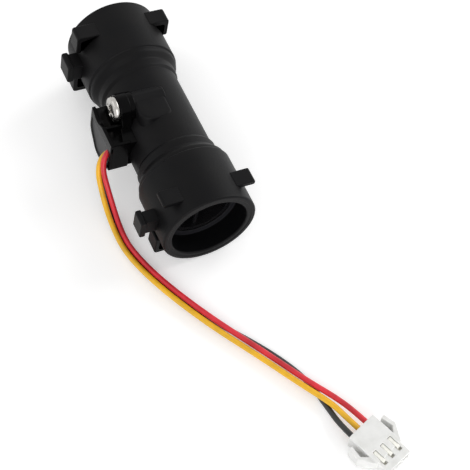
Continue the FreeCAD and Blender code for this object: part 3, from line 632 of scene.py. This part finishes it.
tray_shells = [
    block(plate, BOSS_FACE, PLATE, 0.3, through_side),
    carried(tray, through_side),
    block(face_wall, BOX_FACE - 1.0, BOX_FACE - 0.01, 0.22, through_side),
    block(rail, 0.5, 5.3, 0.3, upwards),
    block(thick_tab, 7.0, PLATE - 0.4, 0.3, through_side),
] + [block(rib, PLATE - 0.5, BOX_FACE - 0.5, 0.2, through_side) for rib in ribs]
module = piece("module_tray", tray_shells, gloss_nylon)
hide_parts("sensor_housing")

# The resin has painted shade towards the floor and a painted highlight towards the top, and it
# creeps up the walls at its edge.
resin = Shader("grey_resin", (0.06, 0.06, 0.065), Roughness=0.3, Specular_IOR_Level=0.12)
cloud = resin.noise(3.0)
fine = resin.noise(0.5)
up = resin.node("SeparateXYZ", [resin.place()], output=2)
resin_shade_and_highlight = resin.mix(up.between(-2.0, 5.5) * 0.8 + cloud * 0.2, (0.002, 0.002, 0.003),
                       (0.014, 0.014, 0.016))
resin.set(Base_Color=resin_shade_and_highlight, Roughness=fine * 0.12 + 0.24)
resin.bump(cloud, 0.05)
FILL = 16.05
fill = [(inner_box, 0.0, 13.4), (inner_box, 0.0, FILL + 0.12), (inner_box, 0.12, FILL + 0.03),
        (inner_box, 0.35, FILL - 0.03), (inner_box, 0.7, FILL - 0.05),
        (inner_box, 0.76, FILL - 0.05)]
potting = piece("cast_resin", [carried(fill, through_side)], resin.material)
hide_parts("potting")

laminate = Shader("glass_epoxy", (0.010, 0.10, 0.035), Roughness=0.35)
weave = laminate.noise(0.4)
laminate_tone = laminate.mix(weave, (0.008, 0.085, 0.030), (0.014, 0.13, 0.045))
laminate.set(Base_Color=laminate_tone, Roughness=weave * 0.1 + 0.3)
dress("circuit_board", laminate.material)
dress("hall_sensor", nylon("hall_epoxy", (0.012, 0.012, 0.012), 0.45, 0.006))
dress("capacitor", nylon("capacitor_ceramic", (0.36, 0.24, 0.13), 0.5, 0.006))
dress("resistor", nylon("resistor_glaze", (0.014, 0.014, 0.015), 0.3, 0.004))

# Screw
# A zinc-plated steel pan-head screw with a crossed recess, cold headed. Its head is a low dome
# whose edge turns down in an arc, and the recess is pressed in with tapered walls.
HEAD = 3.5
HEAD_HIGH = 1.6
CROWN_FALL = 0.18
EDGE_ARC = 0.9
RECESS_DEEP = 1.1
RECESS_REACH = 2.05
RECESS_END = 0.4
ARM_HALF = 0.54
ARM_TAPER = 0.12 / 1.9
ARM_WALL = 0.16
SKIRT = 0.985
angle = np.linspace(0, 2 * math.pi, 120, endpoint=False)
share = np.linspace(0, 1, 56)[1:, None]
radius = HEAD * share
u, v = radius * np.cos(angle), radius * np.sin(angle)

# The edge drops by its arc's radius times one minus the root of one minus the share of the arc
# squared. The cross is sunk where the nearer of its two middle lines is within half an arm's
# width, which tapers outwards, and its floor comes up at the end of each arm.
on_arc = np.clip((radius - (HEAD - EDGE_ARC)) / EDGE_ARC, 0, 1)
edge_drop = EDGE_ARC * (1 - np.sqrt(np.clip(1 - on_arc ** 2, 0, 1)))
arm_half = ARM_HALF - ARM_TAPER * radius
in_arm = np.clip((arm_half - np.minimum(abs(u), abs(v))) / ARM_WALL, 0, 1)
arm = in_arm * np.clip((RECESS_REACH - radius) / RECESS_END, 0, 1)
height = HEAD_HIGH - CROWN_FALL * share ** 2 - edge_drop - RECESS_DEEP * arm
dome = through_side(SCREW_ALONG + u, SCREW_UP + v, PLATE + height)
skirt = through_side(SCREW_ALONG + u[-1:] * SKIRT, SCREW_UP + v[-1:] * SKIRT,
                     np.full((1, len(angle)), PLATE - 0.05))
screw = piece("pan_head_screw", [woven(np.concatenate([dome, skirt]))], steel)
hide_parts("mounting_screw")

# Floor and light
# A pale studio floor under an even white sky, with three soft boxes: the near one is the
# strongest, the right one lights the long side of the tube and the left one is a weak filler.
# The floor is a hair below the lowest point, so that no face of the object lies in it.
GROUND = (FLOOR - 0.02) * MM
REACH = 3.0


def seen_directly(nodes):
    """1 for a ray from the camera, off gloss or through glass, and 0 for one that only lights."""
    camera_ray = nodes.node("LightPath", output="Is Camera Ray")
    glossy_ray = nodes.node("LightPath", output="Is Glossy Ray")
    return camera_ray + glossy_ray + nodes.node("LightPath", output="Is Transmission Ray")


floor_mesh = bpy.data.meshes.new("floor")
floor_mesh.from_pydata([(-REACH, -REACH, GROUND), (REACH, -REACH, GROUND),
                        (REACH, REACH, GROUND), (-REACH, REACH, GROUND)], [], [(0, 1, 2, 3)])
floor = bpy.data.objects.new("floor", floor_mesh)
scene.collection.objects.link(floor)
floor_shader = Shader("pale_floor", (0.90, 0.90, 0.90), Roughness=0.8, Emission_Strength=1.0)
floor_glow = floor_shader.mix(seen_directly(floor_shader), (0.0, 0.0, 0.0), (0.30, 0.30, 0.30))
floor_shader.set(Emission_Color=floor_glow)
floor_mesh.materials.append(floor_shader.material)

world = bpy.data.worlds.new("world")
scene.world = world
world.use_nodes = True
sky = Nodes(world.node_tree)
backdrop = sky.tree.nodes["Background"]
backdrop.inputs["Strength"].default_value = 1.0
sky_tone = sky.mix(seen_directly(sky), (0.56, 0.56, 0.56), (1.0, 1.0, 1.0))
sky.feed(backdrop.inputs["Color"], sky_tone)


def lamp(name, place, size, power):
    """A square soft box that points at the middle of the object, in metres and watts."""
    light = bpy.data.lights.new(name, "AREA")
    light.size = size
    light.energy = power
    holder = bpy.data.objects.new(name, light)
    scene.collection.objects.link(holder)
    holder.location = place
    holder.rotation_euler = (-Vector(place)).to_track_quat("-Z", "Y").to_euler()


lamp("front", (-0.35, -0.95, 0.45), 0.9, 5.6)
lamp("right", (0.9, 0.1, 0.45), 0.7, 5.4)
lamp("left", (-0.8, 0.35, 0.55), 0.7, 1.0)

scene.view_settings.view_transform = "Standard"
